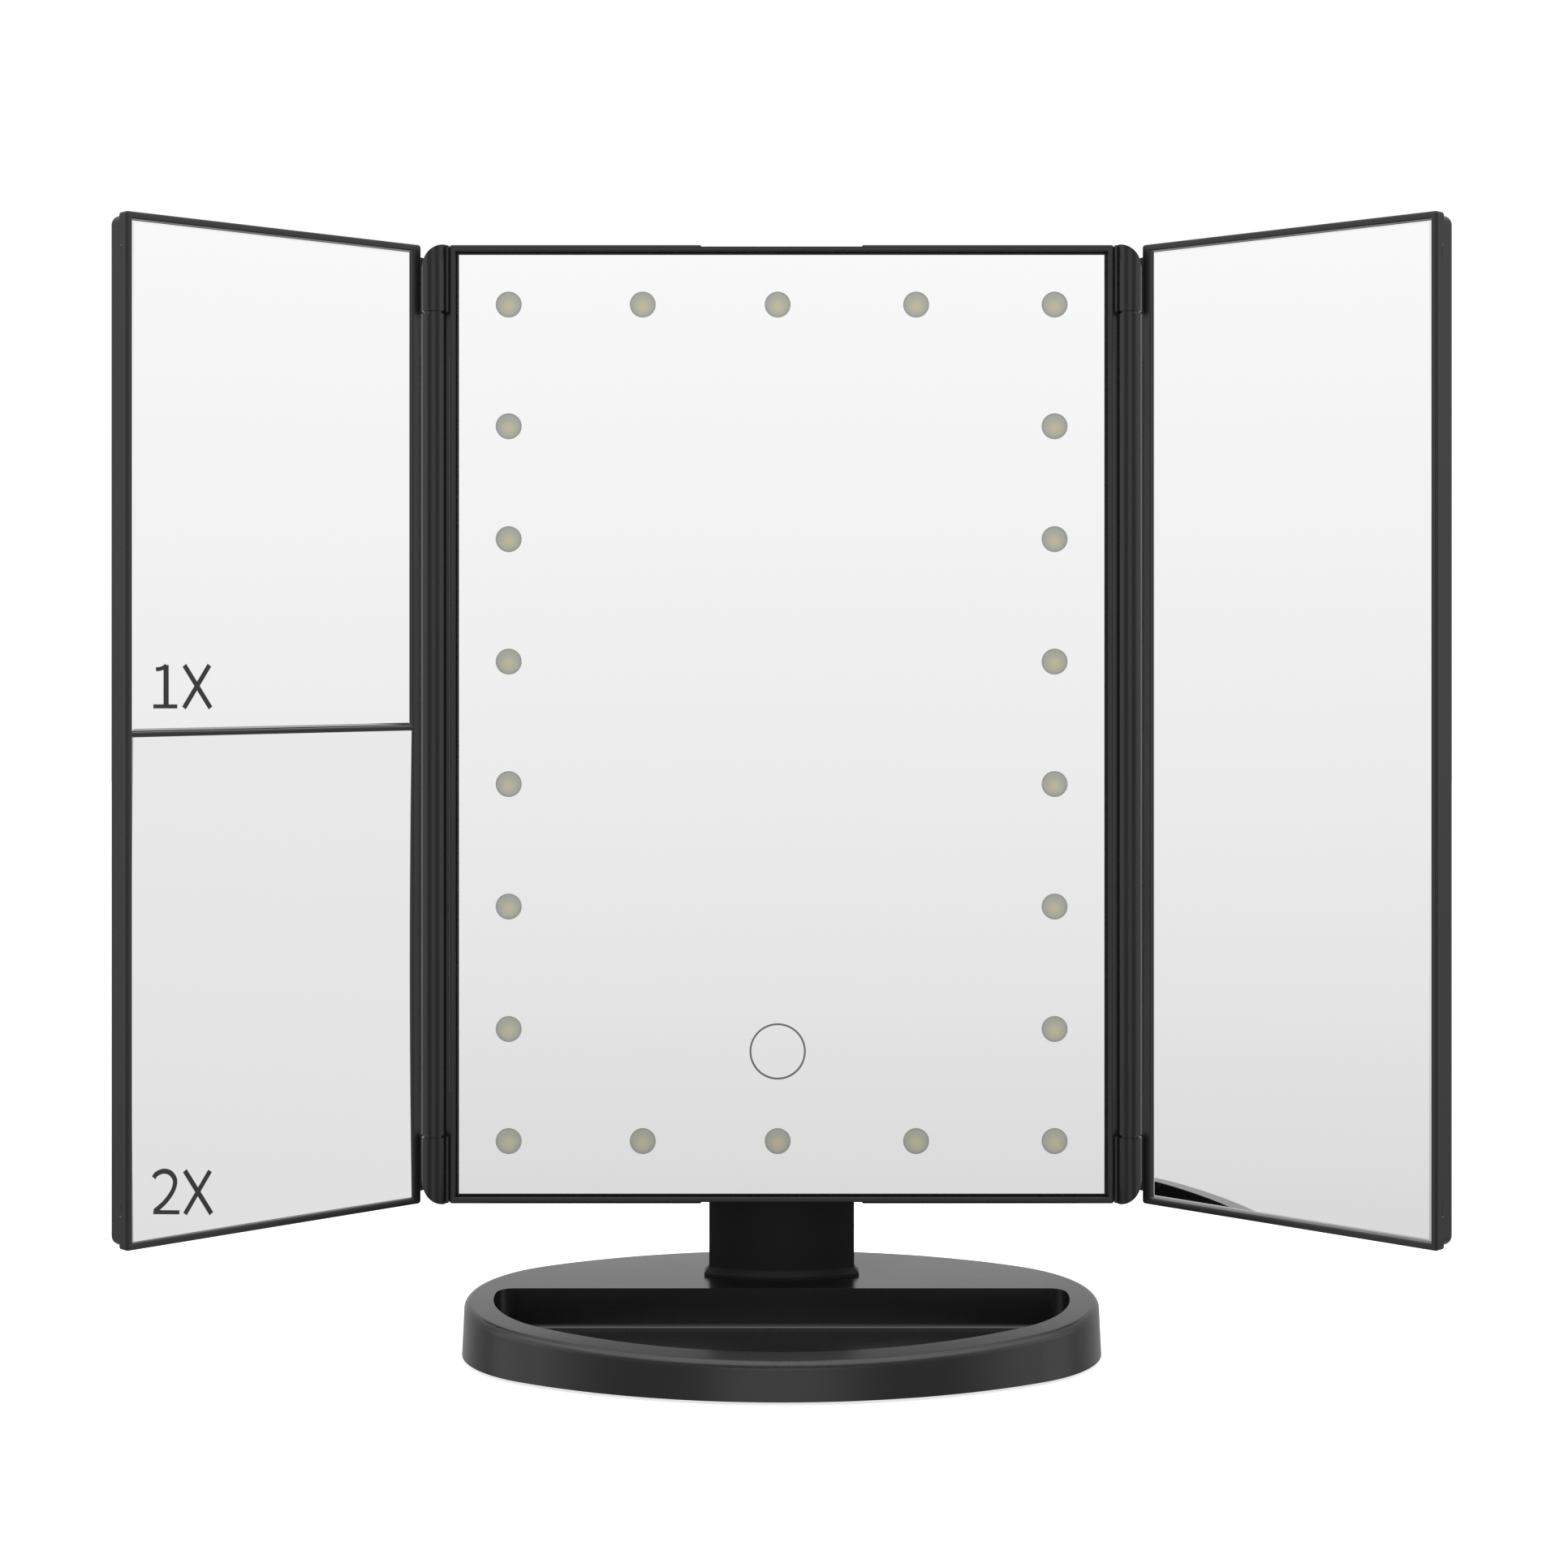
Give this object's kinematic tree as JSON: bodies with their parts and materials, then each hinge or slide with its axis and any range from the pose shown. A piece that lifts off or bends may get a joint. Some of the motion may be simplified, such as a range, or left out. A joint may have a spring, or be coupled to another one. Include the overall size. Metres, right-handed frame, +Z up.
{
  "type": "vanity mirror",
  "caption": "Trifold tabletop vanity mirror: lighted centre panel with touch key, two folding mirror wings, tilting neck and an oval base with a cosmetics tray.",
  "frame": {"origin": "centre of the oval base on the table top", "axes": "+X to the right of a person facing the mirror, +Y away from that person, +Z up"},
  "size_m": [0.311, 0.0986, 0.2749],
  "materials": {
    "satin_black_plastic": "satin black moulded ABS",
    "rubber_foot": "matte",
    "silvered_glass": "polished, silvered behind",
    "plated_steel": "bright zinc plated",
    "nylon": "natural",
    "foam": "closed-cell foam sheet",
    "circuit_board": "solder mask",
    "led_phosphor": "lens over phosphor",
    "copper_foil": "bare foil",
    "battery_sleeve": "plain sleeve"
  },
  "bodies": {
    "base": {"base_shell": "satin_black_plastic", "base_bottom_plate": "satin_black_plastic", "base_screws": "plated_steel", "stand_screws": "plated_steel", "rubber_feet": "rubber_foot", "stand_neck": "satin_black_plastic", "neck_rear_cover": "satin_black_plastic", "neck_screws": "plated_steel", "friction_washers": "nylon"},
    "panel": {"center_bezel": "satin_black_plastic", "center_mirror": "silvered_glass", "mirror_foam_pad": "foam", "led_board": "circuit_board", "led_chips": "led_phosphor", "touch_electrode": "copper_foil", "touch_contact": "rubber_foot", "control_board": "circuit_board", "board_screws": "plated_steel", "power_switch_body": "satin_black_plastic", "power_inlet": "plated_steel", "rear_housing": "satin_black_plastic", "hinge_pins": "plated_steel", "battery_cell_1": "battery_sleeve", "battery_cell_2": "battery_sleeve", "battery_cell_3": "battery_sleeve", "battery_cell_4": "battery_sleeve", "lower_battery_contacts": "plated_steel", "upper_battery_contacts": "plated_steel", "tilt_shaft": "plated_steel", "tilt_lock_nut": "plated_steel"},
    "battery_door": {"battery_door": "satin_black_plastic"},
    "power_switch": {"power_switch_slider": "satin_black_plastic"},
    "left_wing": {"left_wing_frame": "satin_black_plastic", "left_wing_shell": "satin_black_plastic", "left_upper_mirror": "silvered_glass", "left_lower_mirror": "silvered_glass", "left_upper_pad": "foam", "left_lower_pad": "foam"},
    "right_wing": {"right_wing_frame": "satin_black_plastic", "right_wing_shell": "satin_black_plastic", "right_mirror": "silvered_glass", "right_pad": "foam"}
  },
  "joints": [
    {"name": "mirror_tilt", "type": "hinge", "parent": "base", "child": "panel", "pos_m": [0, 0.022, 0.046], "axis": [-1, 0, 0], "range_deg": [-10, 90]},
    {"name": "left_wing_fold", "type": "hinge", "parent": "panel", "child": "left_wing", "pos_m": [-0.0869, 0.009, 0.15515], "axis": [0, 0, 1], "range_deg": [-43.5, 136.5]},
    {"name": "right_wing_fold", "type": "hinge", "parent": "panel", "child": "right_wing", "pos_m": [0.0869, 0.009, 0.15515], "axis": [0, 0, -1], "range_deg": [-43.5, 136.5]},
    {"name": "power_switch_slide", "type": "slide", "parent": "panel", "child": "power_switch", "axis": [1, 0, 0], "range_m": [0, 0.003]},
    {"name": "battery_door_slide", "type": "slide", "parent": "panel", "child": "battery_door", "axis": [0, 0, 1], "range_m": [0, 0.052]}
  ]
}
